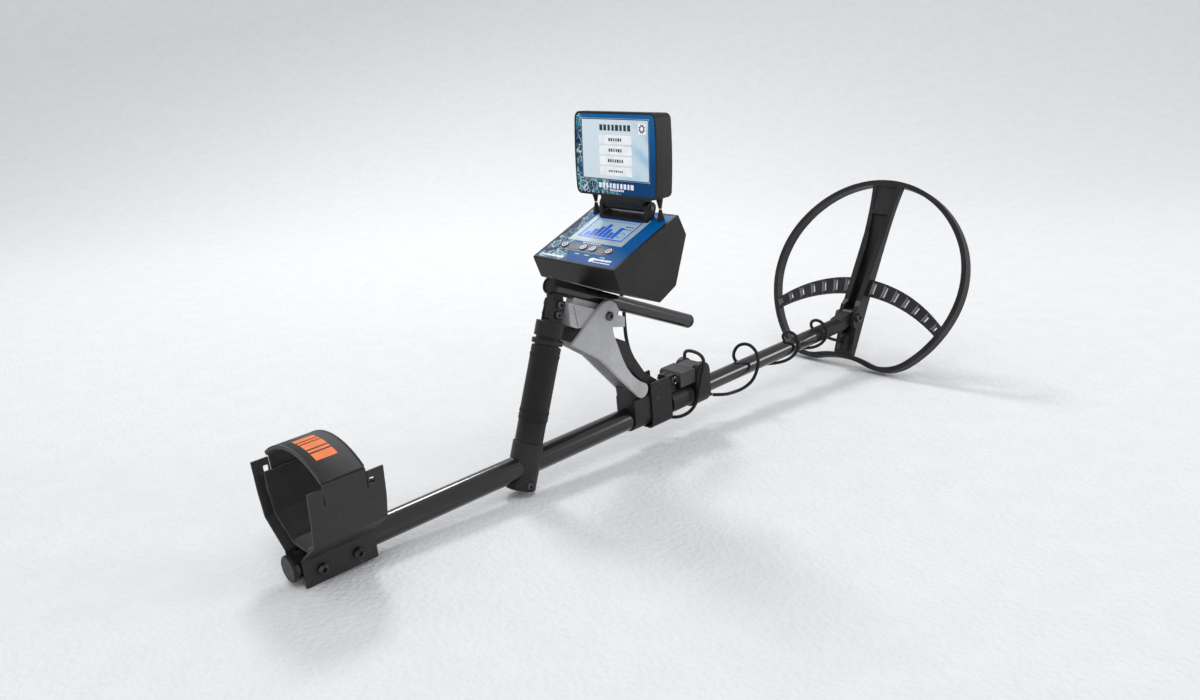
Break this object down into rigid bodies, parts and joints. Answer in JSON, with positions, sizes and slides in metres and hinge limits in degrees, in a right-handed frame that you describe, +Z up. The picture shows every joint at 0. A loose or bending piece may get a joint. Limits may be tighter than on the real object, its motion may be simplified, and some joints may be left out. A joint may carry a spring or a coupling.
{
  "type": "metal detector",
  "caption": "Hand-held metal detector with an arm cuff, raked grip, braced display head, telescopic shaft and an open-frame tilting search coil.",
  "frame": {"origin": "bottom centre of the bounding box of the detector as it stands on the cuff side plates and the coil lobes, floor at z = 0", "axes": "+X from the cuff towards the search coil, +Y to the left of the person who holds it, +Z up"},
  "size_m": [0.9252, 0.293, 0.3706],
  "materials": {
    "gloss_black_tube": "polished",
    "black_plastic": "fine grain",
    "clamp_plastic": "fine grain",
    "grey_plastic": "satin",
    "cuff_sheet": "powder coat",
    "clamp_sheet": "powder coat",
    "strap_rubber": "ribbed",
    "pad_foam": "soft foam",
    "grip_rubber": "moulded",
    "grip_metal": "drawn",
    "bolt_steel": "blackened",
    "light_lens": "clear",
    "console_case": "fine grain",
    "printed_panel": "printed",
    "display_glass": "clear front",
    "button_white": "satin",
    "boot_rubber": "smooth",
    "board_green": "solder mask",
    "battery_wrap": "shrink wrap",
    "coil_case": "fine grain",
    "copper_winding": "enamelled"
  },
  "bodies": {
    "frame": {"bar_end_cap": "black_plastic", "bar_light": "light_lens", "bar_lug": "black_plastic", "bar_nose_cap": "black_plastic", "bar_tube": "gloss_black_tube", "battery_pack": "battery_wrap", "brace_block": "grey_plastic", "brace_cheek_left": "grey_plastic", "brace_cheek_right": "grey_plastic", "brace_core": "clamp_plastic", "brace_saddle": "clamp_plastic", "brace_stop": "pad_foam", "cable_middle": "boot_rubber", "cable_rear": "boot_rubber", "console_board": "board_green", "console_display": "display_glass", "console_panel": "printed_panel", "console_shell": "console_case", "cuff_bolts": "bolt_steel", "cuff_pad": "pad_foam", "cuff_strap": "strap_rubber", "cuff_wing_left": "cuff_sheet", "cuff_wing_right": "cuff_sheet", "end_cap": "black_plastic", "frame_bolts": "bolt_steel", "front_clamp": "clamp_plastic", "grip_fork": "clamp_plastic", "grip_rings": "black_plastic", "grip_rubber": "grip_rubber", "grip_socket": "clamp_plastic", "grip_tube": "grip_metal", "hinge_bracket": "console_case", "hinge_rod": "bolt_steel", "lever_pin": "bolt_steel", "lock_sleeve": "clamp_plastic", "rear_clamp": "clamp_sheet", "shaft_bush": "black_plastic", "upper_shaft": "gloss_black_tube", "wire_boots_lower": "boot_rubber"},
    "monitor": {"monitor_bezel": "console_case", "monitor_fascia": "printed_panel", "monitor_screen": "display_glass", "monitor_shell": "console_case", "hinge_leaf": "console_case", "wire_boots_upper": "boot_rubber"},
    "lever": {"lock_lever": "grey_plastic"},
    "lower": {"lower_shaft": "gloss_black_tube", "shaft_tongue": "black_plastic", "cable_front": "boot_rubber", "coil_bolt": "bolt_steel"},
    "coil": {"coil_ring": "coil_case", "coil_cover": "coil_case", "coil_winding": "copper_winding", "coil_spine": "coil_case", "coil_webs": "coil_case", "cable_gland": "black_plastic"},
    "button_1": {"button_1": "button_white"},
    "button_2": {"button_2": "button_white"},
    "button_3": {"button_3": "button_white"},
    "button_4": {"button_4": "button_white"}
  },
  "joints": [
    {"name": "monitor_tilt", "type": "hinge", "parent": "frame", "child": "monitor", "pos_m": [-0.04005, 0, 0.27347], "axis": [0, 1, 0], "range_deg": [-12, 20]},
    {"name": "lock_lever_turn", "type": "hinge", "parent": "frame", "child": "lever", "pos_m": [0.05338, 0, 0.06994], "axis": [0, 1, 0], "range_deg": [0, 50]},
    {"name": "shaft_slide", "type": "slide", "parent": "frame", "child": "lower", "axis": [0.9985, 0, 0.0555], "range_m": [0, 0.08]},
    {"name": "coil_tilt", "type": "hinge", "parent": "lower", "child": "coil", "pos_m": [0.36552, 0, 0.06705], "axis": [0, 1, 0], "range_deg": [-40, 20], "deforming": ["cable_front"]},
    {"name": "button_1_press", "type": "slide", "parent": "frame", "child": "button_1", "axis": [0.4099, 0, -0.9121], "range_m": [0, 0.0008], "stiffness_N_per_m": 1500},
    {"name": "button_2_press", "type": "slide", "parent": "frame", "child": "button_2", "axis": [0.4099, 0, -0.9121], "range_m": [0, 0.0008], "stiffness_N_per_m": 1500},
    {"name": "button_3_press", "type": "slide", "parent": "frame", "child": "button_3", "axis": [0.4099, 0, -0.9121], "range_m": [0, 0.0008], "stiffness_N_per_m": 1500},
    {"name": "button_4_press", "type": "slide", "parent": "frame", "child": "button_4", "axis": [0.4099, 0, -0.9121], "range_m": [0, 0.0008], "stiffness_N_per_m": 1500}
  ]
}
